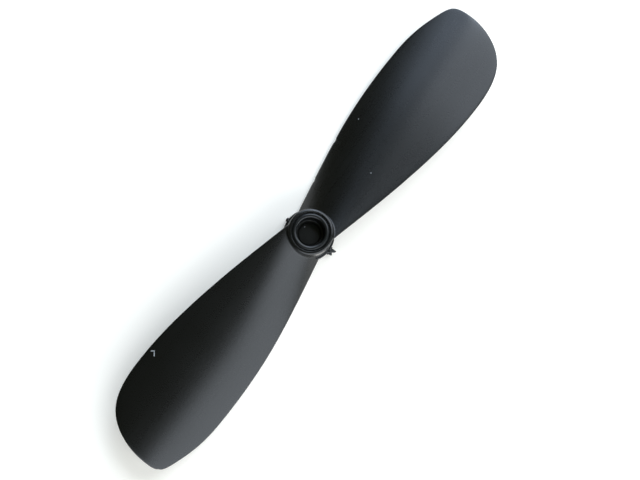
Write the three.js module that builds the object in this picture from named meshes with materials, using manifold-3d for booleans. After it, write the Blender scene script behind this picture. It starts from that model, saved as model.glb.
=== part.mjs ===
// Two-blade moulded propeller with a push-in shaft sleeve.
// Millimetres. +Z is the spin axis and points to the front, +X runs along blade A,
// and the origin is the centre of the hub's rear face.

import * as THREE from "three";
import { mergeVertices } from "three/addons/utils/BufferGeometryUtils.js";
import Module from "manifold-3d";

const wasm = await Module();
wasm.setup();

// Blades
const span = 75;
const widestRadius = 26.6;
const widestChord = 13.6;
const chordAtRoot = 6.6;
const rootRadius = 2.7;
const bladeStart = 1;
const tipRoundness = 2.5;
const tipSkew = 2.2;
const tipSkewPower = 6.5;
const leadBulge = 0.16;
const pitch = 50;
const camberShare = 0.07;
const thicknessAtRoot = 1.05;
const thicknessAtTip = 0.55;
const edgeThicknessShare = 0.55;
const edgeBluntness = 0.4;
const tipThinning = 0.25;

// Hub barrel
const hubRadius = 3.12;
const hubHeight = 5;
const barrelWall = 0.47;
const rimRound = 0.36;
const barrelDraft = 0.06;
const collarStep = 0.35;
const collarHeight = 1;
const collarRound = 0.18;
const seatStep = 0.4;
const seatHeight = 1.2;
const mouthChamfer = 0.12;

// Shaft sleeve
const slidingGap = 0.04;
const cupRadius = 1.92;
const cupDepth = 2.7;
const cupFillet = 0.2;
const grooveWidth = 0.07;
const grooveDepth = 0.16;
const lipDrop = 0.08;
const floorPadInset = 0.4;
const floorPadHeight = 0.1;
const webThickness = 0.55;
const shaftRadius = 1;
const shaftLeadIn = 0.2;
const rearRecess = 0.1;

// Remains of the moulding gates
const gateOffset = 0.2;
const gateWidth = 0.7;
const gateLength = 0.4;
const gateThickness = 0.55;
const prongLength = 0.9;
const prongWidth = 0.4;
const prongSpread = 20;
const nubRadius = 0.34;
const nubReach = 0.22;

// Facets
const roundSegments = 40;
const bladeStations = 18;
const tipStations = 10;
const arcSteps = 3;
const sectionPoints = 24;
const jointGap = 0.04;

const blackPlastic = { color: 0x1b1e20, roughness: 0.42, metalness: 0 };
const sleevePlastic = { color: 0x1f2324, roughness: 0.38, metalness: 0 };

// Heights and radii that follow from the sizes above.
const tipRadius = span / 2;
const bladeHeight = hubHeight / 2;
const edgeRise = bladeHeight - (thicknessAtRoot * edgeThicknessShare) / 2;
const boreRadius = hubRadius - barrelWall;
const rimMiddle = hubRadius - barrelWall / 2;
const lowBoreRadius = boreRadius - seatStep;
const sleeveRadius = boreRadius - slidingGap;
const lowSleeveRadius = lowBoreRadius - slidingGap;
const sleeveTop = hubHeight - lipDrop;
const floorHeight = sleeveTop - cupDepth;
const collarRadius = hubRadius + barrelDraft + collarStep;
const gateHeight = collarHeight - gateThickness / 2;

// Points of an arc in the (radius, height) plane, angles in degrees.
function arc(centreRadius, centreHeight, radius, fromDegrees, toDegrees, steps) {
  const points = [];
  for (let i = 0; i <= steps; i += 1) {
    const angle = THREE.MathUtils.degToRad(fromDegrees + ((toDegrees - fromDegrees) * i) / steps);
    const x = centreRadius + radius * Math.cos(angle);
    const y = centreHeight + radius * Math.sin(angle);
    points.push(new THREE.Vector2(x, y));
  }
  return points;
}

function point(radius, height) {
  return new THREE.Vector2(radius, height);
}

// A turned shape about +Z from its (radius, height) outline.
function turned(outline) {
  const geometry = new THREE.LatheGeometry(outline, roundSegments);
  geometry.rotateX(Math.PI / 2);
  return geometry;
}

function toSolid(geometry) {
  const bare = geometry.clone();
  bare.deleteAttribute("normal");
  bare.deleteAttribute("uv");
  const merged = mergeVertices(bare, 1e-5);
  const vertProperties = new Float32Array(merged.attributes.position.array);
  const triVerts = new Uint32Array(merged.index.array);
  return new wasm.Manifold(new wasm.Mesh({ numProp: 3, vertProperties, triVerts }));
}

function toGeometry(solid) {
  const mesh = solid.getMesh();
  const geometry = new THREE.BufferGeometry();
  geometry.setAttribute("position", new THREE.BufferAttribute(mesh.vertProperties, 3));
  geometry.setIndex(new THREE.BufferAttribute(mesh.triVerts, 1));
  geometry.computeVertexNormals();
  return geometry;
}

function piece(name, geometry, finish) {
  const mesh = new THREE.Mesh(geometry, new THREE.MeshStandardMaterial(finish));
  mesh.name = name;
  return mesh;
}

// Outside of the hub from its rear face to its front rim, grown all over by a gap.
function hubOutside(gap) {
  const footRadius = hubRadius + barrelDraft;
  return [
    ...arc(collarRadius - collarRound, collarRound, collarRound + gap, -90, 0, arcSteps),
    ...arc(collarRadius - collarRound, collarHeight - collarRound, collarRound + gap, 0, 90, arcSteps),
    point(footRadius + gap, collarHeight + gap),
    ...arc(hubRadius - rimRound, hubHeight - rimRound, rimRound + gap, 0, 90, arcSteps),
  ];
}

// Barrel wall with its collar, and the stepped bore that holds the sleeve.
function barrelOutline() {
  const outline = [
    point(lowBoreRadius, mouthChamfer),
    point(lowBoreRadius + mouthChamfer, 0),
    ...hubOutside(0),
    point(boreRadius, hubHeight),
    point(boreRadius, seatHeight),
    point(lowBoreRadius, seatHeight),
  ];
  outline.push(outline[0].clone());
  return outline;
}

// Bar of plastic left where the runner was torn off: a short stem that ends in two prongs.
function tornGate() {
  const stemEnd = collarRadius + gateLength;
  const stem = new THREE.BoxGeometry(gateWidth, stemEnd - rimMiddle, gateThickness);
  stem.translate(gateOffset, -(stemEnd + rimMiddle) / 2, gateHeight);
  let gate = toSolid(stem);
  for (const side of [-1, 1]) {
    const prong = new THREE.ConeGeometry(prongWidth / 2, prongLength, 6);
    prong.rotateX(Math.PI);
    prong.scale(1, 1, gateThickness / prongWidth);
    prong.rotateZ(THREE.MathUtils.degToRad(side * prongSpread));
    prong.translate(gateOffset + (side * gateWidth) / 4, -stemEnd, gateHeight);
    gate = gate.add(toSolid(prong));
  }
  return gate;
}

// Low round stump on the other side of the hub.
function gateNub() {
  const nub = new THREE.CylinderGeometry(nubRadius * 0.7, nubRadius, 4 * nubReach, 10);
  nub.translate(0, collarRadius - nubReach, gateHeight);
  return toSolid(nub);
}

function hubBarrel() {
  const wall = toSolid(turned(barrelOutline()));
  const bore = new THREE.CylinderGeometry(boreRadius, boreRadius, 2 * hubHeight, roundSegments);
  bore.rotateX(Math.PI / 2);
  const gates = tornGate().add(gateNub()).subtract(toSolid(bore));
  return toGeometry(wall.add(gates));
}

// Sleeve: cup to the front, blind shaft socket to the rear, solid web between them. The lip
// is a half circle, or less of one where the groove round it is shallow.
function sleeveOutline() {
  const lipRadius = sleeveRadius - grooveWidth;
  const lipRound = (lipRadius - cupRadius) / 2;
  const crestHeight = sleeveTop - lipRound;
  const grooveHeight = sleeveTop - grooveDepth;
  const crestRise = Math.max(0, grooveHeight - crestHeight) / lipRound;
  const crestStart = THREE.MathUtils.radToDeg(Math.asin(crestRise));
  const lipSide = grooveHeight < crestHeight ? [point(lipRadius, grooveHeight)] : [];
  const socketTop = floorHeight - webThickness;
  const padRadius = cupRadius - floorPadInset;
  return [
    point(0, socketTop),
    point(shaftRadius, socketTop),
    point(shaftRadius, rearRecess + shaftLeadIn),
    point(shaftRadius + shaftLeadIn, rearRecess),
    point(lowSleeveRadius - mouthChamfer, rearRecess),
    point(lowSleeveRadius, rearRecess + mouthChamfer),
    point(lowSleeveRadius, seatHeight + slidingGap),
    point(sleeveRadius, seatHeight + slidingGap),
    point(sleeveRadius, grooveHeight),
    ...lipSide,
    ...arc(cupRadius + lipRound, crestHeight, lipRound, crestStart, 180, 2 * arcSteps),
    ...arc(cupRadius - cupFillet, floorHeight + cupFillet, cupFillet, 0, -60, arcSteps),
    point(padRadius, floorHeight),
    point(padRadius - floorPadHeight / 2, floorHeight + floorPadHeight),
    point(0, floorHeight + floorPadHeight),
  ];
}

// Share of the way from the widest station to the tip, 0 inboard of it.
function tipShare(radius) {
  return Math.max(0, (radius - widestRadius) / (tipRadius - widestRadius));
}

// Half width of the curved sheet that the blade is cut from: a quarter sine from the root
// to the widest station, and even from there to the tip.
function sheetHalfWidth(radius) {
  const inboard = Math.min(1, (radius - rootRadius) / (widestRadius - rootRadius));
  const growth = Math.sin((Math.PI / 2) * inboard);
  return chordAtRoot / 2 + ((widestChord - chordAtRoot) / 2) * growth;
}

// Half chord: the sheet's half width, rounded off over the tip by a superellipse.
function halfChord(radius) {
  return sheetHalfWidth(radius) * (1 - tipShare(radius) ** tipRoundness) ** (1 / tipRoundness);
}

// Middle of the chord, measured towards the leading edge.
function chordMiddle(radius) {
  const bulge = leadBulge * THREE.MathUtils.smoothstep(radius, widestRadius / 2, widestRadius);
  return bulge - tipSkew * tipShare(radius) ** tipSkewPower;
}

// Rise of the blade per unit of chord: a helix, eased towards the root so that neither
// edge leaves the hub's height.
function pitchSlope(radius) {
  const helixRun = (2 * Math.PI * radius) / pitch;
  return 1 / Math.hypot(helixRun, sheetHalfWidth(radius) / edgeRise);
}

// Height of the sheet's middle surface: pitch, and an arch across the chord.
function sheetHeight(radius, towardsLead) {
  const halfWidth = sheetHalfWidth(radius);
  const arch = 2 * camberShare * halfWidth * (1 - (towardsLead / halfWidth) ** 2);
  return bladeHeight + pitchSlope(radius) * towardsLead + arch;
}

// One point of the blade's skin. The angle goes round the section: 0 is the leading edge,
// 90 degrees the middle of the front face, 180 degrees the trailing edge.
function bladePoint(radius, angle) {
  const half = halfChord(radius);
  const towardsLead = chordMiddle(radius) + half * Math.cos(angle);
  const height = sheetHeight(radius, towardsLead);
  const share = towardsLead / sheetHalfWidth(radius);
  const tilt = Math.atan(pitchSlope(radius) - 4 * camberShare * share);
  const full = THREE.MathUtils.lerp(thicknessAtRoot, thicknessAtTip, radius / tipRadius);
  const profile = 1 - (1 - edgeThicknessShare) * share * share;
  const roundEdge = Math.sign(Math.sin(angle)) * Math.abs(Math.sin(angle)) ** edgeBluntness;
  const offset = (full / 2) * profile * roundEdge * (half / (half + tipThinning));
  return [radius, -towardsLead + offset * Math.sin(tilt), height + offset * Math.cos(tilt)];
}

// Stations from inside the hub to the tip, closing up towards the tip as a circle does.
function bladeRadii() {
  const radii = [];
  for (let i = 0; i < bladeStations; i += 1) {
    radii.push(THREE.MathUtils.lerp(bladeStart, widestRadius, i / bladeStations));
  }
  for (let i = 0; i < tipStations; i += 1) {
    radii.push(THREE.MathUtils.lerp(widestRadius, tipRadius, Math.sin((Math.PI / 2) * (i / tipStations))));
  }
  return radii;
}

// Closed blade: rings of section points, a fan at the root and a fan at the tip.
function bladeLoft() {
  const radii = bladeRadii();
  const positions = [];
  const triangles = [];
  for (const radius of radii) {
    for (let j = 0; j < sectionPoints; j += 1) {
      positions.push(...bladePoint(radius, (2 * Math.PI * j) / sectionPoints));
    }
  }
  for (let i = 0; i + 1 < radii.length; i += 1) {
    for (let j = 0; j < sectionPoints; j += 1) {
      const a = i * sectionPoints + j;
      const b = i * sectionPoints + ((j + 1) % sectionPoints);
      triangles.push(a, a + sectionPoints, b, b, a + sectionPoints, b + sectionPoints);
    }
  }
  const root = positions.length / 3;
  for (const radius of [bladeStart, tipRadius]) {
    const middle = chordMiddle(radius);
    positions.push(radius, -middle, sheetHeight(radius, middle));
  }
  const tip = root + 1;
  const last = (radii.length - 1) * sectionPoints;
  for (let j = 0; j < sectionPoints; j += 1) {
    const next = (j + 1) % sectionPoints;
    triangles.push(root, j, next);
    triangles.push(tip, last + next, last + j);
  }
  const geometry = new THREE.BufferGeometry();
  geometry.setAttribute("position", new THREE.Float32BufferAttribute(positions, 3));
  geometry.setIndex(triangles);
  return geometry;
}

// Blade with its inner end shaped to the outside of the hub.
function blade() {
  const outline = [point(0, -jointGap), ...hubOutside(jointGap), point(0, hubHeight + jointGap)];
  const hub = toSolid(turned(outline));
  return toGeometry(toSolid(bladeLoft()).subtract(hub));
}

const propeller = new THREE.Group();

propeller.add(piece("hub_barrel", hubBarrel(), blackPlastic));
propeller.add(piece("shaft_sleeve", turned(sleeveOutline()), sleevePlastic));

for (const [name, turn] of [["blade_a", 0], ["blade_b", Math.PI]]) {
  const mesh = piece(name, blade(), blackPlastic);
  mesh.rotation.z = turn;
  propeller.add(mesh);
}

export default propeller;
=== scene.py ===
"""Finished surfaces, finishes and studio for a small moulded two-blade propeller.

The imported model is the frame: its nodes give the places, and every piece made here
is a surface worked out from a formula and laid over the node that it stands for.
Lengths are metres, +Z is the spin axis and +X runs along blade A.
"""

import math

import bpy
import numpy as np
from bpy.props import FloatProperty, FloatVectorProperty, PointerProperty
from mathutils import Matrix, Vector


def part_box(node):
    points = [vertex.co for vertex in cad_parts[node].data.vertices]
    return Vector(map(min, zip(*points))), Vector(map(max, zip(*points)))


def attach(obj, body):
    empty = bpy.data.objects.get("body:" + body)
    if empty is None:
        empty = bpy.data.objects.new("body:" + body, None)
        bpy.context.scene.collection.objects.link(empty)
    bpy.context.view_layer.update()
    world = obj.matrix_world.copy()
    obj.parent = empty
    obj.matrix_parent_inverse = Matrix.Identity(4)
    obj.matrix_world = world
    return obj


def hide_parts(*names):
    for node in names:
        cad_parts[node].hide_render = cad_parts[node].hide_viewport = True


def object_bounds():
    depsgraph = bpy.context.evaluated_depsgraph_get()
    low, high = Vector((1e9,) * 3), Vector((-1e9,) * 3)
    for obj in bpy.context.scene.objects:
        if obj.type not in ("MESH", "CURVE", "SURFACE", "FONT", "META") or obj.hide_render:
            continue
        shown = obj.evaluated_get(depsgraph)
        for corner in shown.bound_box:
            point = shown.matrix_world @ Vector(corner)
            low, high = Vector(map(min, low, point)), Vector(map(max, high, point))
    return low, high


bl_info = {
    "name": "Moulded propeller",
    "version": (1, 0, 0),
    "blender": (4, 5, 0),
    "location": "View3D > Sidebar > Propeller",
    "description": "Two-blade moulded propeller with a push-in shaft sleeve, and its studio",
    "category": "Add Mesh",
}

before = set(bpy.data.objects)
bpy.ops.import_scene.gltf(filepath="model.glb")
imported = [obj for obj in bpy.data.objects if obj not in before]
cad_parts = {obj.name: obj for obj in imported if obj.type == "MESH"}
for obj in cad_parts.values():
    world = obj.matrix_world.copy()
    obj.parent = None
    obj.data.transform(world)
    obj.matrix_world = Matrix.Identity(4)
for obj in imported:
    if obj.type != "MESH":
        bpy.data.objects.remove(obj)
cad_low, cad_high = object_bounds()
barrel_low, barrel_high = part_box("hub_barrel")
sleeve_low, sleeve_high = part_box("shaft_sleeve")

MM = 0.001

# Stations along a blade, points round its section, and columns round the turned pieces.
NEAR_STATIONS = 60
ALONG_STATIONS = 70
TIP_STATIONS = 60
SECTION_POINTS = 112
BARREL_COLUMNS = 192
SLEEVE_COLUMNS = 160

# How far section points crowd towards a blade's edges, how deep its first ring lies in the
# hub, how strongly stations gather there, and the passes that settle them.
EDGE_CROWDING = 0.36
ROOT_SINK = 0.06 * MM
ROOT_GATHER = 1.6
ROOT_PASSES = 4

# Lint, and one painted glint on the cup floor: x, y, z, half length and half width in millimetres, and
# turn in degrees.
BLADE_LINT = (
    (-25.5, 6.3, 4.2, 0.3, 0.07, -52),
    (-25.7, 5.9, 4.1, 0.36, 0.07, 38),
    (16.7, 4.7, 1.8, 0.09, 0.06, 0),
    (11.5, -1.3, 4.07, 0.09, 0.06, 40),
)
# A painted glint: a small pale patch on the cup floor standing for a bright fleck.
CUP_PAINTED_GLINT = ((0.35, 1.1, 2.32, 0.12, 0.07, 30),)
LINT_HALF_HEIGHT = 0.4


# ---------------------------------------------------------------- sizes and colours


def length(name, millimetres, description):
    """A length that a user can change, given in millimetres and kept in metres."""
    return FloatProperty(
        name=name,
        description=description,
        default=millimetres * MM,
        min=0.0,
        precision=5,
        unit="LENGTH",
    )


def tint(name, colour, description):
    """A linear colour that a user can change."""
    return FloatVectorProperty(
        name=name,
        description=description,
        default=colour,
        min=0.0,
        max=1.0,
        size=3,
        subtype="COLOR",
    )


class BladeSizes(bpy.types.PropertyGroup):
    """Planform, pitch, camber and section of the blades."""

    tip_radius: length("Tip radius", cad_high.x / MM, "From the spin axis to the tip")
    widest_radius: length("Widest radius", 26.6, "Where the blade is widest")
    widest_chord: length("Widest chord", 13.6, "Chord at the widest place")
    root_radius: length("Root radius", 2.7, "Where the root chord is measured")
    root_chord: length("Root chord", 6.6, "Chord at the root")
    inner_end: length("Inner end", 1.0, "Where the blade ends inside the hub")
    run_out: length("Run out", 2.2, "Stretch next to the hub with closer stations")
    tip_roundness: FloatProperty(
        name="Tip roundness",
        description="Power of the superellipse that rounds the tip",
        default=2.5,
    )
    tip_skew: length("Tip skew", 2.2, "How far the tip leans to the trailing edge")
    skew_power: FloatProperty(
        name="Skew power", description="How late the tip starts to lean", default=6.5
    )
    lead_bulge: length("Leading bulge", 0.16, "How far mid-chord moves forward at the widest")
    pitch: length("Pitch", 50, "Advance of the outer blade in one turn")
    camber_share: FloatProperty(
        name="Camber", description="Height of the arch as a share of the chord", default=0.07
    )
    root_thickness: length("Root thickness", 1.05, "Thickness on the spin axis")
    tip_thickness: length("Tip thickness", 0.55, "Thickness at the tip")
    edge_share: FloatProperty(
        name="Edge thickness", description="Edge thickness as a share of the middle", default=0.55
    )
    edge_bluntness: FloatProperty(
        name="Edge bluntness", description="Power that rounds both edges", default=0.4
    )
    tip_thinning: length("Tip thinning", 0.25, "Half chord at which the section is half as thick")
    root_fillet: length("Root fillet", 0.2, "Radius between the blade and the hub")
    wave: length("Wave", 0.012, "Unevenness that cooling leaves in the faces")


class HubSizes(bpy.types.PropertyGroup):
    """Hub barrel, collar and stepped bore."""

    radius: length("Hub radius", 3.12, "Outside of the rim")
    height: length("Hub height", barrel_high.z / MM, "From the rear face to the rim")
    wall: length("Rim wall", 0.47, "Wall round the sleeve")
    rim_round: length("Rim round", 0.36, "Rounding of the rim's outer edge")
    draft: length("Draft", 0.06, "How much wider the barrel is at its foot")
    collar_step: length("Collar step", 0.35, "How far the collar stands out")
    collar_height: length("Collar height", 1.0, "Height of the collar")
    collar_round: length("Collar round", 0.18, "Rounding of the collar's edges")
    foot_fillet: length("Foot fillet", 0.16, "Hollow between the collar and the barrel")
    seat_step: length("Seat step", 0.4, "Width of the ledge that stops the sleeve")
    seat_height: length("Seat height", 1.2, "Height of that ledge")
    unevenness: length("Unevenness", 0.014, "How far the rim wanders from a true circle")


class SleeveSizes(bpy.types.PropertyGroup):
    """Cup, lip and shaft socket of the sleeve."""

    gap: length("Sliding gap", 0.04, "Between the sleeve and the barrel")
    cup_radius: length("Cup radius", 1.92, "Inside of the cup")
    cup_depth: length("Cup depth", 2.7, "From the lip to the floor")
    lip_wall: length("Lip wall", 0.62, "Thickness of the lip")
    groove_depth: length("Groove depth", 0.16, "Step between the lip and the rim")
    pad_inset: length("Pad inset", 0.4, "Ring of floor round the raised pad")
    pad_height: length("Pad height", 0.1, "Height of the raised pad")
    web: length("Web", 0.55, "Between the cup and the shaft socket")
    shaft_radius: length("Shaft radius", 1.0, "Socket for the motor shaft")
    shaft_lead_in: length("Lead-in", 0.2, "Bevel at the mouth of the socket")


class GateSizes(bpy.types.PropertyGroup):
    """What is left of the two gates on the collar."""

    offset: length("Gate offset", 0.15, "Along the blade from the spin axis")
    stem: length("Stem", 0.6, "How far the torn bar stands out of the collar")
    width: length("Width", 0.8, "Width of the torn bar")
    thickness: length("Thickness", 0.55, "Thickness of the torn bar")
    nub_radius: length("Nub radius", 0.34, "Stump on the other side")


class FinishColours(bpy.types.PropertyGroup):
    """Colours of the plastic and the stage."""

    plastic: tint("Plastic", (0.0012, 0.0013, 0.001), "Body colour of the moulding")
    # Paler plastic for convex edges: partly rubbing, partly a painted edge highlight.
    pale_and_sheen: tint("Worn plastic", (0.005, 0.0052, 0.005), "Colour on rubbed edges")
    sleeve: tint("Sleeve", (0.0014, 0.0022, 0.0022), "Body colour of the sleeve")
    # Also the colour of the painted glint on the cup floor.
    dust_and_glint: tint("Dust", (0.42, 0.44, 0.45), "Specks and lint on the faces")
    floor: tint("Floor", (0.93, 0.88, 0.8), "Paper under the propeller")


class StudioSettings(bpy.types.PropertyGroup):
    """Camera and lights."""

    distance: length("Camera distance", 224, "From the camera to the rear plane of the hub")
    lens: FloatProperty(name="Lens", description="Focal length in millimetres", default=92.2)
    lean: FloatProperty(
        name="Lean", description="Tilt of the view towards blade B, in degrees", default=7.78
    )
    side_lean: FloatProperty(
        name="Side lean", description="Tilt of the view towards -Y, in degrees", default=0.67
    )
    heading: FloatProperty(
        name="Heading", description="Turn of the view's up direction from +X", default=38.69
    )
    aim_across: length("Aim across", 1.6, "How far right of the hub the camera aims")
    aim_down: length("Aim down", 0.56, "How far below the hub the camera aims")
    overhead_power: FloatProperty(name="Overhead", description="Watts of the overhead lamp", default=0.32)
    window_power: FloatProperty(name="Window", description="Watts of the window", default=1.15)
    side_power: FloatProperty(name="Side", description="Watts of the side lamp", default=0.235)
    rim_power: FloatProperty(name="Rim", description="Watts of the low lamp for the hub", default=0.13)
    sky: FloatProperty(name="Sky", description="Strength of the room light", default=0.07)
    glow: FloatProperty(name="Glow", description="Light given off by the paper itself", default=0.15)


# ---------------------------------------------------------------- meshes from formulas


def ring_faces(rows, columns, close_rows=False):
    """Quads between neighbouring points of a grid whose columns close on themselves."""
    index = np.arange(rows * columns).reshape(rows, columns)
    if close_rows:
        index = np.vstack([index, index[:1]])
    beside = np.roll(index, -1, axis=1)
    return np.stack([index[:-1], beside[:-1], beside[1:], index[1:]], axis=-1).reshape(-1, 4)


def zipped_ring(ring):
    """Quads that close a flat ring by joining its front half to its back half.

    Point k is joined to point n - k, so the faces run straight across the section.
    """
    count = len(ring)
    near = np.arange(0, count // 2)
    far = (count - near) % count
    return np.stack([ring[near], ring[near + 1], ring[far - 1], ring[far]], axis=-1)


def mesh_piece(name, points, faces, finish, body, replaced=(), wear_and_sheen=None):
    """A smooth mesh object at the origin with its faces outward, riding on a body.

    The signed volume, a third of the sum of each face's centre dotted with its area
    vector, is negative when the faces point inward, and they are then turned round.
    """
    corners = points[faces]
    area = np.cross(corners[:, 2] - corners[:, 0], corners[:, 3] - corners[:, 1]) / 2
    if np.einsum("ij,ij->", corners.mean(axis=1), area) < 0:
        faces = faces[:, ::-1]
    clean = [list(dict.fromkeys(face)) for face in faces.tolist()]
    mesh = bpy.data.meshes.new(name)
    mesh.from_pydata(points.tolist(), [], [face for face in clean if len(face) > 2])
    mesh.polygons.foreach_set("use_smooth", np.ones(len(mesh.polygons), dtype=bool))
    # Per-point share of the paler edge finish: partly rubbing, partly a painted edge highlight.
    if wear_and_sheen is not None:
        layer = mesh.attributes.new("wear_and_sheen", "FLOAT", "POINT")
        layer.data.foreach_set("value", wear_and_sheen.astype(np.float32).ravel())
    mesh.materials.append(finish)
    mesh.validate()
    piece = bpy.data.objects.new(name, mesh)
    bpy.context.scene.collection.objects.link(piece)
    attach(piece, body)
    if replaced:
        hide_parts(*replaced)
    return piece


def smooth_step(low, high, values):
    """0 below low, 1 above high, and a smooth cubic between them."""
    share = np.clip((values - low) / (high - low), 0, 1)
    return share * share * (3 - 2 * share)


# ---------------------------------------------------------------- blade


def sheet_half_width(blade, radius):
    """Half width of the curved sheet: a quarter sine to the widest place, then even."""
    inboard = (radius - blade.root_radius) / (blade.widest_radius - blade.root_radius)
    growth = np.sin(math.pi / 2 * np.clip(inboard, -1, 1))
    return blade.root_chord / 2 + (blade.widest_chord - blade.root_chord) / 2 * growth


def half_chord(blade, radius):
    """Half chord: the sheet's half width, rounded off over the tip by a superellipse."""
    power = blade.tip_roundness
    return sheet_half_width(blade, radius) * (1 - tip_share(blade, radius) ** power) ** (1 / power)


def tip_share(blade, radius):
    """Share of the way from the widest place to the tip."""
    outboard = (radius - blade.widest_radius) / (blade.tip_radius - blade.widest_radius)
    return np.clip(outboard, 0, 1)


def chord_middle(blade, radius):
    """Middle of the chord towards the leading edge: a bulge, less the tip's lean."""
    bulge = blade.lead_bulge * smooth_step(blade.widest_radius / 2, blade.widest_radius, radius)
    return bulge - blade.tip_skew * tip_share(blade, radius) ** blade.skew_power


def pitch_slope(blade, hub, radius):
    """Rise per unit of chord: a helix, eased near the root to stay within the hub."""
    edge_rise = hub.height / 2 - blade.root_thickness * blade.edge_share / 2
    helix_run = 2 * math.pi * radius / blade.pitch
    return 1 / np.hypot(helix_run, sheet_half_width(blade, radius) / edge_rise)


def blade_radii(blade, hub):
    """Stations: close together at the hub, even along the blade, and closing up at the tip."""
    near = np.linspace(blade.inner_end, hub.radius + blade.run_out, NEAR_STATIONS, endpoint=False)
    along = np.linspace(near[-1] + 0.1 * MM, blade.widest_radius, ALONG_STATIONS, endpoint=False)
    turn = np.linspace(0, math.pi / 2 * 0.992, TIP_STATIONS)
    outer = blade.widest_radius + (blade.tip_radius - blade.widest_radius) * np.sin(turn)
    return np.concatenate([near, along, outer])


def blade_skin(blade, hub, nicks, radius, angle):
    """Points of the blade's skin at the given radii and angles round the section.

    The middle surface is a sheet that rises with the pitch and arches across the chord
    by the camber times (1 - share squared), where share is the way from the blade's
    axis to the sheet's side. At angle a round the section, 0 at the leading edge and pi
    at the trailing edge, a point lies half a chord times cos a from mid-chord, and
    stands off the sheet along its normal by half the thickness, blunt at both edges.
    """
    across, front = np.cos(angle), np.sin(angle)
    half = half_chord(blade, radius)
    for place, depth, reach, side in nicks:
        bite = depth * np.exp(-(((radius - place) / reach) ** 2))
        half = half - bite * smooth_step(0.6, 0.98, side * across)
    towards_lead = chord_middle(blade, radius) + half * across
    slope = pitch_slope(blade, hub, radius)
    share = towards_lead / sheet_half_width(blade, radius)
    arch = 2 * blade.camber_share * sheet_half_width(blade, radius) * (1 - share**2)
    tilt = np.arctan(slope - 4 * blade.camber_share * share)
    outboard = radius / blade.tip_radius
    full = blade.root_thickness + (blade.tip_thickness - blade.root_thickness) * outboard
    section = 1 - (1 - blade.edge_share) * share**2
    blunt = np.sign(front) * np.abs(front) ** blade.edge_bluntness
    offset = full / 2 * section * blunt * half / (half + blade.tip_thinning)
    ripple = np.sin(radius / (3.1 * MM) + 1.7 * across) * np.sin(radius / (7.9 * MM) - 2.3 * across)
    height = hub.height / 2 + slope * towards_lead + arch + blade.wave * ripple
    x = np.broadcast_to(radius, towards_lead.shape)
    return np.stack([x, -towards_lead + offset * np.sin(tilt), height + offset * np.cos(tilt)], -1)


def blade_grid(blade, hub, nicks):
    """Points of one blade, one ring of the section for each station.

    The inner stations are drawn out so that the first ring lies just under the hub's
    surface, and both skins flare into a quarter-round fillet where they meet it.
    """
    station = blade_radii(blade, hub)[:, None]
    turn = np.linspace(0, 2 * math.pi, SECTION_POINTS, endpoint=False)[None, :]
    angle = turn - EDGE_CROWDING * np.sin(2 * turn)
    outer = hub.radius + blade.run_out
    share = np.clip((station - blade.inner_end) / (outer - blade.inner_end), 0, 1)
    under = hub.radius - ROOT_SINK
    radius = station
    for _ in range(ROOT_PASSES):
        aside = blade_skin(blade, hub, nicks, radius, angle)[..., 1]
        wall = np.sqrt(np.maximum(under**2 - aside**2, blade.inner_end**2))
        radius = np.where(share < 1, wall + (outer - wall) * share**ROOT_GATHER, station)
    grid = blade_skin(blade, hub, nicks, radius, angle)
    fillet = blade.root_fillet
    clear = np.clip(np.hypot(grid[..., 0], grid[..., 1]) - hub.radius, 0, fillet)
    flare = fillet - np.sqrt(fillet**2 - (fillet - clear) ** 2)
    front = np.sin(angle)
    height = grid[..., 2] + flare * front / np.sqrt(front**2 + 0.04)
    grid[..., 2] = np.clip(height, 0.08 * MM, hub.height - 0.2 * MM)
    # Paler at both edges of the section: partly rubbing, partly a painted edge highlight.
    wear_and_sheen = np.exp(-((front / 0.16) ** 2)) + np.zeros_like(height)
    return grid, wear_and_sheen


def make_blade(node, blade, hub, turn, finish, nicks):
    """One blade as a closed skin, turned about the spin axis."""
    grid, wear_and_sheen = blade_grid(blade, hub, nicks)
    rows, columns = grid.shape[:2]
    index = np.arange(rows * columns).reshape(rows, columns)
    root = zipped_ring(index[0])[:, ::-1]
    faces = np.vstack([ring_faces(rows, columns), root, zipped_ring(index[-1])])
    points = grid.reshape(-1, 3) @ np.array(Matrix.Rotation(turn, 3, "Z")).T
    mesh_piece(f"{node}_skin", points, faces, finish, "moulding", [node], wear_and_sheen)


# ---------------------------------------------------------------- turned pieces


def rounded_outline(corners, closed=True, steps=7):
    """Outline through (radius, height, rounding) corners, and which points lie on convex corners, where
    the finish is paler: partly rubbing, partly a painted edge highlight.

    Each corner becomes the curve (1-t)^2 p + 2t(1-t) c + t^2 q, where c is the corner
    and p and q lie one rounding away from it along its two sides.
    """
    corners = np.array(corners, dtype=float)
    place, rounding = corners[:, :2], corners[:, 2:]
    before = np.roll(place, 1, axis=0) - place
    after = np.roll(place, -1, axis=0) - place
    start = place + before / np.linalg.norm(before, axis=1, keepdims=True) * rounding
    end = place + after / np.linalg.norm(after, axis=1, keepdims=True) * rounding
    t = np.linspace(0, 1, steps)[:, None, None]
    curve = (1 - t) ** 2 * start + 2 * t * (1 - t) * place + t**2 * end
    outward = after[:, 0] * before[:, 1] - after[:, 1] * before[:, 0] > 0
    worn_and_sheen = np.broadcast_to(outward, (steps, len(corners))).T.reshape(-1).astype(float)
    curve = curve.transpose(1, 0, 2).reshape(-1, 2)
    kept = slice(None) if closed else slice(steps - 1, 1 - steps)
    return curve[kept], worn_and_sheen[kept]


def turned_grid(outline, columns, unevenness=0.0):
    """The outline carried round +Z, wandering by a few sines of the angle."""
    angle = np.linspace(0, 2 * math.pi, columns, endpoint=False)[None, :]
    radius, height = outline[:, :1], outline[:, 1:]
    wander = 0.5 * np.sin(2 * angle + 0.6) + 0.3 * np.sin(5 * angle + 2.1) + 0.2 * np.sin(9 * angle)
    rim = smooth_step(0.7 * height.max(), height.max(), height)
    radius = radius + unevenness * wander * rim
    lift = unevenness * 0.7 * np.roll(wander, columns // 5, axis=1) * rim
    z = height - np.abs(lift)
    return np.stack([radius * np.cos(angle), radius * np.sin(angle), z], axis=-1)


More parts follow.
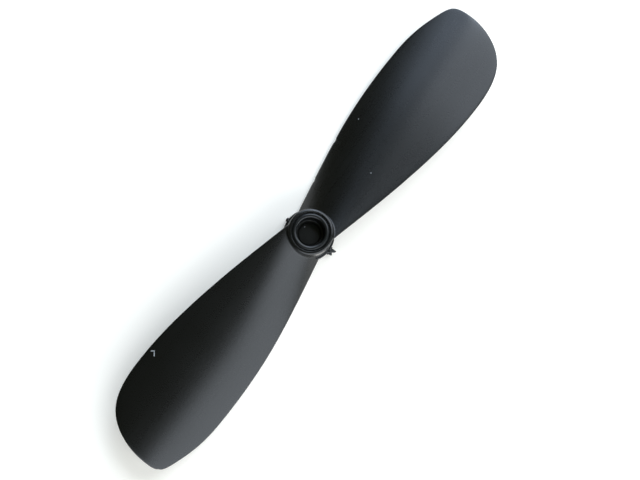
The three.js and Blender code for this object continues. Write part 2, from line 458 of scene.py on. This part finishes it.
def make_barrel(hub, finish):
    """Barrel wall with its collar and the stepped bore, as one closed ring."""
    bore = hub.radius - hub.wall
    low_bore = bore - hub.seat_step
    foot = hub.radius + hub.draft
    collar = foot + hub.collar_step
    corners = [
        (low_bore, 0, 0.1 * MM),
        (collar, 0, hub.collar_round),
        (collar, hub.collar_height, hub.collar_round),
        (foot, hub.collar_height, hub.foot_fillet),
        (hub.radius, hub.height, hub.rim_round),
        (bore, hub.height, 0.04 * MM),
        (bore, hub.seat_height, 0.05 * MM),
        (low_bore, hub.seat_height, 0.05 * MM),
    ]
    outline, worn_and_sheen = rounded_outline(corners)
    grid = turned_grid(outline, BARREL_COLUMNS, hub.unevenness)
    faces = ring_faces(len(outline), BARREL_COLUMNS, close_rows=True)
    wear_and_sheen = np.repeat(worn_and_sheen[:, None], BARREL_COLUMNS, axis=1)
    mesh_piece("hub_skin", grid.reshape(-1, 3), faces, finish, "moulding",
               ["hub_barrel"], wear_and_sheen)


def make_sleeve(hub, sleeve, finish):
    """Sleeve: open cup and rounded lip in front, blind shaft socket behind."""
    radius = hub.radius - hub.wall - sleeve.gap
    low_radius = radius - hub.seat_step
    top = sleeve_high.z
    rear = sleeve_low.z
    crest_share = 0.78
    crest = sleeve.cup_radius + crest_share * sleeve.lip_wall
    floor = top - sleeve.cup_depth
    pad = sleeve.cup_radius - sleeve.pad_inset
    seat = hub.seat_height + sleeve.gap
    cap = 0.3 * MM
    groove = top - sleeve.groove_depth
    crisp = 0.05 * MM
    corners = [
        (cap, floor - sleeve.web, 0.01 * MM),
        (sleeve.shaft_radius, floor - sleeve.web, crisp),
        (sleeve.shaft_radius, rear + sleeve.shaft_lead_in, crisp),
        (sleeve.shaft_radius + sleeve.shaft_lead_in, rear, crisp),
        (low_radius, rear, 0.12 * MM),
        (low_radius, seat, 0.04 * MM),
        (radius, seat, 0.08 * MM),
        (radius, groove, crisp),
        (crest + 0.1 * MM, groove, 0.03 * MM),
        (crest, top, 0.15 * MM),
        (sleeve.cup_radius, top, sleeve.lip_wall * 0.45),
        (sleeve.cup_radius, floor, 0.16 * MM),
        (pad, floor, crisp),
        (pad - sleeve.pad_height / 2, floor + sleeve.pad_height, crisp),
        (cap, floor + sleeve.pad_height, 0.01 * MM),
    ]
    outline, worn_and_sheen = rounded_outline(corners, closed=False)
    grid = turned_grid(outline, SLEEVE_COLUMNS, hub.unevenness / 2)
    index = np.arange(len(outline) * SLEEVE_COLUMNS).reshape(len(outline), SLEEVE_COLUMNS)
    ends = [zipped_ring(index[0])[:, ::-1], zipped_ring(index[-1])]
    faces = np.vstack([ring_faces(len(outline), SLEEVE_COLUMNS), *ends])
    wear_and_sheen = np.repeat(worn_and_sheen[:, None], SLEEVE_COLUMNS, axis=1)
    mesh_piece("sleeve_skin", grid.reshape(-1, 3), faces, finish, "sleeve",
               ["shaft_sleeve"], wear_and_sheen)


# ---------------------------------------------------------------- gate remains


def torn_finger(start, end, width, thickness, seed, bluntness=2.0):
    """A ragged finger of plastic from start to end, as rings of points.

    The way s along it runs from 0 to 1. The middle line bows aside a little by
    sin(pi s), the width shrinks with the square root of (1 - s to the bluntness), and
    sines of the angle and of s roughen each ring.
    """
    s = np.linspace(0, 1, 30)[:, None]
    angle = np.linspace(0, 2 * math.pi, 24, endpoint=False)[None, :]
    start, end = np.array(start), np.array(end)
    along = (end - start) / np.linalg.norm(end - start)
    aside = np.cross(along, (0, 0, 1))
    aside = aside / np.linalg.norm(aside)
    up = np.cross(aside, along)
    taper = np.sqrt(np.clip(1 - s**bluntness, 0.004, 1))
    rough = 1 + 0.1 * np.sin(3 * angle + 5 * s + seed) * np.sin(9 * s + 2 * seed)
    rough = rough + 0.03 * np.sin(5 * angle - 11 * s + 3 * seed)
    bow = 0.08 * width * np.sin(math.pi * s) * np.sin(seed)
    middle = start + s[..., None] * (end - start) + bow[..., None] * aside
    side = (width / 2 * taper * rough * np.cos(angle))[..., None] * aside
    lift = (thickness / 2 * taper * rough * np.sin(angle))[..., None] * up
    return middle + side + lift


def make_gates(hub, gate, finish):
    """Torn bar with its ragged end on one side of the collar, and a stump on the other."""
    collar = hub.radius + hub.draft + hub.collar_step
    level = hub.collar_height - gate.thickness / 2
    x, reach, wide = gate.offset, gate.stem, gate.width
    # Each prong: start along the blade and outward, end the same way, breadth, thickness,
    # all as shares of the bar's own sizes, and a seed for its roughness.
    prongs = [
        (0.0, -0.6, 0.15, 0.75, 1.25, 1.0, 0.9),
        (0.1, -0.3, 0.55, 1.3, 0.72, 0.75, 1.3),
        (-0.1, -0.2, -0.42, 1.02, 0.72, 0.7, 2.9),
        (-0.15, -0.4, -0.75, 0.25, 0.62, 0.6, 4.1),
        (0.15, -0.5, 0.75, 0.1, 0.6, 0.6, 5.6),
    ]
    fingers = []
    for from_x, from_out, to_x, to_out, broad, thick, seed in prongs:
        start = (x + from_x * wide, -collar - from_out * reach, level)
        end = (x + to_x * wide, -collar - to_out * reach, level + 0.1 * wide * math.sin(seed))
        fingers.append(torn_finger(start, end, broad * wide, thick * gate.thickness, seed))
    nub = gate.nub_radius
    nub_start = (-0.1 * MM, collar - 1.2 * nub, level)
    nub_end = (-0.16 * MM, collar + 0.75 * nub, level)
    stump = torn_finger(nub_start, nub_end, 2 * nub, 1.7 * nub, 5.2, 5.0)
    for name, shapes in (("torn_gate", fingers), ("gate_stump", [stump])):
        points, faces, first = [], [], 0
        for shape in shapes:
            rows, columns = shape.shape[:2]
            index = np.arange(rows * columns).reshape(rows, columns)
            ends = [zipped_ring(index[0])[:, ::-1], zipped_ring(index[-1])]
            faces.append(np.vstack([ring_faces(rows, columns), *ends]) + first)
            points.append(shape.reshape(-1, 3))
            first += rows * columns
        points, faces = np.vstack(points), np.vstack(faces)
        # A faint, even share of the paler finish over all of the gate remains: partly rubbing, partly
        # painted sheen.
        wear_and_sheen = np.full(len(points), 0.15)
        mesh_piece(name, points, faces, finish, "moulding", wear_and_sheen=wear_and_sheen)


# ---------------------------------------------------------------- finishes


class Wire:
    """A node's output that takes part in arithmetic: each operator adds a Math node."""

    def __init__(self, sheet, socket):
        self.sheet = sheet
        self.socket = socket

    def math(self, operation, *values):
        inputs = dict(enumerate(values))
        return self.sheet.add("ShaderNodeMath", {"operation": operation}, inputs)

    def __add__(self, other):
        return self.math("ADD", self, other)

    def __sub__(self, other):
        return self.math("SUBTRACT", self, other)

    def __rsub__(self, other):
        return self.math("SUBTRACT", other, self)

    def __mul__(self, other):
        return self.math("MULTIPLY", self, other)

    def __gt__(self, other):
        return self.math("GREATER_THAN", self, other)

    def __lt__(self, other):
        return self.math("LESS_THAN", self, other)

    __radd__ = __add__
    __rmul__ = __mul__


class Sheet:
    """The node tree of one finish."""

    def __init__(self, name):
        self.material = bpy.data.materials.new(name)
        self.material.use_nodes = True
        self.tree = self.material.node_tree
        self.tree.nodes.clear()

    def add(self, kind, settings=None, inputs=None, output=0):
        """Adds a node, sets its settings and then its inputs, and returns one output."""
        node = self.tree.nodes.new(kind)
        for key, value in (settings or {}).items():
            setattr(node, key, value)
        for key, value in (inputs or {}).items():
            if isinstance(value, Wire):
                self.tree.links.new(value.socket, node.inputs[key])
            else:
                node.inputs[key].default_value = value
        return Wire(self, node.outputs[output]) if node.outputs else None

    def mix(self, factor, first, second):
        """A colour between two colours."""
        settings = {"data_type": "RGBA"}
        return self.add("ShaderNodeMix", settings, {0: factor, 6: first, 7: second}, 2)

    def spread(self, value, low, high):
        """A value's range from low to high, stretched to 0 to 1 and clamped."""
        inputs = {"Value": value, "From Min": low, "From Max": high}
        return self.add("ShaderNodeMapRange", {"clamp": True}, inputs)


def opaque(colour):
    """A colour with full alpha."""
    return (*colour, 1.0)


def moulded_plastic(name, body_colour, colours, roughness, lint_and_glint):
    """Satin black plastic: mould texture, flow streaks, paler edges from rubbing and a painted edge
    highlight, specks and fibres of fluff, and a painted glint.

    Each listed patch, a fibre or the painted glint, colours what lies in an ellipsoid too low to reach
    the other face.
    """
    sheet = Sheet(name)
    place = sheet.add("ShaderNodeTexCoord", output="Object")
    scaled = sheet.add("ShaderNodeVectorMath", {"operation": "SCALE"}, {0: place, "Scale": 1 / MM})
    along = sheet.add("ShaderNodeMapping", inputs={"Vector": scaled, "Scale": (0.1, 0.8, 0.8)})
    grain = sheet.add("ShaderNodeTexNoise", inputs={"Vector": scaled, "Scale": 11.0, "Detail": 4.0})
    flow = sheet.add("ShaderNodeTexNoise", inputs={"Vector": along, "Scale": 1.3, "Detail": 3.0})
    cloud = sheet.add("ShaderNodeTexNoise", inputs={"Vector": scaled, "Scale": 0.16, "Detail": 2.0})
    wear_and_sheen = sheet.add("ShaderNodeAttribute", {"attribute_name": "wear_and_sheen"}, output="Fac")
    cells = {"Vector": scaled, "Scale": 0.42}
    near = sheet.add("ShaderNodeTexVoronoi", {"feature": "F1"}, cells)
    pick = sheet.add("ShaderNodeTexVoronoi", {"feature": "F1"}, cells, "Color")
    chosen = sheet.add("ShaderNodeSeparateColor", inputs={"Color": pick})
    speck_and_glint = (near < 0.028) * (chosen > 0.8)
    # Random specks, then the listed fibres and, in the cup, the painted glint.
    for x, y, z, long, wide, turn in lint_and_glint:
        oval = {
            "Vector": scaled,
            "Location": (x, y, z),
            "Rotation": (0, 0, math.radians(turn)),
            "Scale": (long, wide, LINT_HALF_HEIGHT),
        }
        inside = sheet.add("ShaderNodeMapping", {"vector_type": "TEXTURE"}, oval)
        away = sheet.add("ShaderNodeVectorMath", {"operation": "LENGTH"}, {0: inside}, 1)
        speck_and_glint = speck_and_glint + (away < 1.0)
    # Paler on convex edges: partly rubbing, partly a painted edge highlight.
    rubbed_and_sheen = wear_and_sheen * sheet.spread(grain + flow, 0.7, 1.3)
    pale = opaque(colours.pale_and_sheen)
    body = sheet.mix(sheet.spread(cloud, 0.3, 0.7) * 0.35, opaque(body_colour), pale)
    edge = sheet.mix(rubbed_and_sheen * 0.55, body, pale)
    # Specks, fibres and the painted glint take the pale grey colour.
    dusty_and_glint = sheet.mix(speck_and_glint * 0.7, edge, opaque(colours.dust_and_glint))
    rough = roughness + (flow - 0.5) * 0.03 + (grain - 0.5) * 0.06 - rubbed_and_sheen * 0.04 + speck_and_glint * 0.3
    relief = grain * 0.8 + flow * 0.2
    bumps = {"Height": relief, "Strength": 0.25, "Distance": 0.01 * MM}
    bump = sheet.add("ShaderNodeBump", inputs=bumps)
    inputs = {"Base Color": dusty_and_glint, "Roughness": rough, "Normal": bump, "IOR": 1.5}
    shader = sheet.add("ShaderNodeBsdfPrincipled", inputs=inputs)
    sheet.add("ShaderNodeOutputMaterial", inputs={"Surface": shader})
    return sheet.material


def paper(colours, glow):
    """Plain pale paper with a faint tooth, which glows like the top of a light table."""
    sheet = Sheet("white_paper")
    place = sheet.add("ShaderNodeTexCoord", output="Object")
    tooth = sheet.add("ShaderNodeTexNoise", inputs={"Vector": place, "Scale": 900.0, "Detail": 3.0})
    bumps = {"Height": tooth, "Strength": 0.05, "Distance": 0.01 * MM}
    bump = sheet.add("ShaderNodeBump", inputs=bumps)
    inputs = {"Base Color": opaque(colours.floor), "Roughness": 0.9, "Normal": bump,
              "Emission Color": (1.0, 0.97, 0.9, 1.0), "Emission Strength": glow}
    shader = sheet.add("ShaderNodeBsdfPrincipled", inputs=inputs)
    sheet.add("ShaderNodeOutputMaterial", inputs={"Surface": shader})
    return sheet.material


# ---------------------------------------------------------------- studio


def view_axes(studio):
    """Right, up and back directions of the camera, from its lean and heading."""
    back = Vector((-math.tan(math.radians(studio.lean)), -math.tan(math.radians(studio.side_lean)), 1))
    back.normalize()
    heading = math.radians(studio.heading)
    right = Vector((math.cos(heading), math.sin(heading), 0)).cross(back).normalized()
    return right, back.cross(right), back


def make_camera(studio):
    """Camera almost straight above the hub, aimed a little to one side of it."""
    right, up, back = view_axes(studio)
    data = bpy.data.cameras.new("camera")
    data.lens = studio.lens
    data.clip_start = 1 * MM
    data.clip_end = 10
    camera = bpy.data.objects.new("camera", data)
    place = right * studio.aim_across - up * studio.aim_down + back * studio.distance
    camera.matrix_world = Matrix.Translation(place) @ Matrix((right, up, back)).transposed().to_4x4()
    bpy.context.scene.collection.objects.link(camera)
    bpy.context.scene.camera = camera


def make_lamp(name, studio, turn, drop, distance, size, power, colour):
    """Rectangular lamp that faces the hub.

    It stands the drop angle down from straight above, turned anticlockwise from the
    camera's right. Its width lies level.
    """
    right, up, _ = view_axes(studio)
    level = Vector((0, 0, 1))
    flat_right = (right - level * right.z).normalized()
    flat_up = level.cross(flat_right)
    turn, drop = math.radians(turn), math.radians(drop)
    sideways = flat_right * math.cos(turn) + flat_up * math.sin(turn)
    place = (sideways * math.sin(drop) + level * math.cos(drop)) * distance
    data = bpy.data.lights.new(name, "AREA")
    data.shape = "RECTANGLE"
    data.size, data.size_y = size
    data.energy = power
    data.color = colour
    lamp = bpy.data.objects.new(name, data)
    lamp.matrix_world = Matrix.Translation(place) @ place.to_track_quat("Z", "Y").to_matrix().to_4x4()
    bpy.context.scene.collection.objects.link(lamp)


def make_room(strength):
    """Weak even light from all round."""
    world = bpy.data.worlds.new("room")
    world.use_nodes = True
    background = world.node_tree.nodes["Background"]
    background.inputs["Color"].default_value = (1.0, 1.05, 0.6, 1.0)
    background.inputs["Strength"].default_value = strength
    bpy.context.scene.world = world


def make_floor(colours, glow):
    """A wide sheet of paper just under the propeller."""
    reach = 1.5
    mesh = bpy.data.meshes.new("paper")
    level = cad_low.z - 0.02 * MM
    signs = ((-1, -1), (1, -1), (1, 1), (-1, 1))
    corners = [(x * reach, y * reach, level) for x, y in signs]
    mesh.from_pydata(corners, [], [(0, 1, 2, 3)])
    mesh.materials.append(paper(colours, glow))
    floor = bpy.data.objects.new("paper", mesh)
    bpy.context.scene.collection.objects.link(floor)


# ---------------------------------------------------------------- operators and panel


class PROPELLER_OT_blades(bpy.types.Operator):
    """Make both blades"""

    bl_idname = "propeller.blades"
    bl_label = "Blades"

    def execute(self, context):
        scene = context.scene
        finish = plastic_finish("black_plastic")
        # A nick is its place along the blade, depth, reach, and side: -1 is the trailing edge.
        edge_nicks = [(12.5 * MM, 0.12 * MM, 0.3 * MM, -1), (6.3 * MM, 0.1 * MM, 0.25 * MM, -1)]
        tip_nick = [(37.1 * MM, 0.12 * MM, 0.15 * MM, -1)]
        make_blade("blade_a", scene.propeller_blade, scene.propeller_hub, 0, finish, edge_nicks)
        make_blade("blade_b", scene.propeller_blade, scene.propeller_hub, math.pi, finish, tip_nick)
        return {"FINISHED"}


class PROPELLER_OT_hub(bpy.types.Operator):
    """Make the hub barrel and the gate remains on its collar"""

    bl_idname = "propeller.hub"
    bl_label = "Hub"

    def execute(self, context):
        scene = context.scene
        finish = plastic_finish("black_plastic")
        make_barrel(scene.propeller_hub, finish)
        make_gates(scene.propeller_hub, scene.propeller_gate, finish)
        return {"FINISHED"}


class PROPELLER_OT_sleeve(bpy.types.Operator):
    """Make the shaft sleeve"""

    bl_idname = "propeller.sleeve"
    bl_label = "Shaft sleeve"

    def execute(self, context):
        scene = context.scene
        make_sleeve(scene.propeller_hub, scene.propeller_sleeve, plastic_finish("sleeve_plastic"))
        return {"FINISHED"}


class PROPELLER_OT_stage(bpy.types.Operator):
    """Make the paper, lights and camera"""

    bl_idname = "propeller.stage"
    bl_label = "Stage"

    def execute(self, context):
        scene = context.scene
        studio = scene.propeller_studio
        make_camera(studio)
        make_lamp("overhead", studio, turn=51, drop=42, distance=0.2, size=(0.19, 0.15),
                  power=studio.overhead_power, colour=(0.9, 1.0, 1.14))
        make_lamp("window", studio, turn=290, drop=69, distance=0.2, size=(0.44, 0.29),
                  power=studio.window_power, colour=(0.92, 1.0, 1.1))
        make_lamp("side", studio, turn=89, drop=64, distance=0.2, size=(0.13, 0.2),
                  power=studio.side_power, colour=(0.83, 1.0, 1.26))
        make_lamp("rim", studio, turn=40, drop=74, distance=0.25, size=(0.16, 0.1),
                  power=studio.rim_power, colour=(0.95, 1.0, 1.08))
        make_room(studio.sky)
        make_floor(scene.propeller_colours, studio.glow)
        scene.view_settings.view_transform = "Standard"
        return {"FINISHED"}


class PROPELLER_PT_panel(bpy.types.Panel):
    """Buttons that make the propeller's pieces"""

    bl_label = "Propeller"
    bl_space_type = "VIEW_3D"
    bl_region_type = "UI"
    bl_category = "Propeller"

    def draw(self, context):
        for maker in MAKERS:
            self.layout.operator(maker.bl_idname)


MAKERS = (PROPELLER_OT_blades, PROPELLER_OT_hub, PROPELLER_OT_sleeve, PROPELLER_OT_stage)
GROUPS = {
    "propeller_blade": BladeSizes,
    "propeller_hub": HubSizes,
    "propeller_sleeve": SleeveSizes,
    "propeller_gate": GateSizes,
    "propeller_colours": FinishColours,
    "propeller_studio": StudioSettings,
}


def plastic_finish(name):
    """The named finish, made once."""
    colours = bpy.context.scene.propeller_colours
    if name in bpy.data.materials:
        return bpy.data.materials[name]
    if name == "sleeve_plastic":
        return moulded_plastic(name, colours.sleeve, colours, 0.32, CUP_PAINTED_GLINT)
    return moulded_plastic(name, colours.plastic, colours, 0.28, BLADE_LINT)


def register():
    for group in GROUPS.values():
        bpy.utils.register_class(group)
    for name, group in GROUPS.items():
        setattr(bpy.types.Scene, name, PointerProperty(type=group))
    for maker in (*MAKERS, PROPELLER_PT_panel):
        bpy.utils.register_class(maker)


def unregister():
    for maker in (*MAKERS, PROPELLER_PT_panel):
        bpy.utils.unregister_class(maker)
    for name, group in GROUPS.items():
        delattr(bpy.types.Scene, name)
        bpy.utils.unregister_class(group)


def main():
    register()
    bpy.ops.propeller.stage()
    bpy.ops.propeller.blades()
    bpy.ops.propeller.hub()
    bpy.ops.propeller.sleeve()


if __name__ == "__main__":
    main()
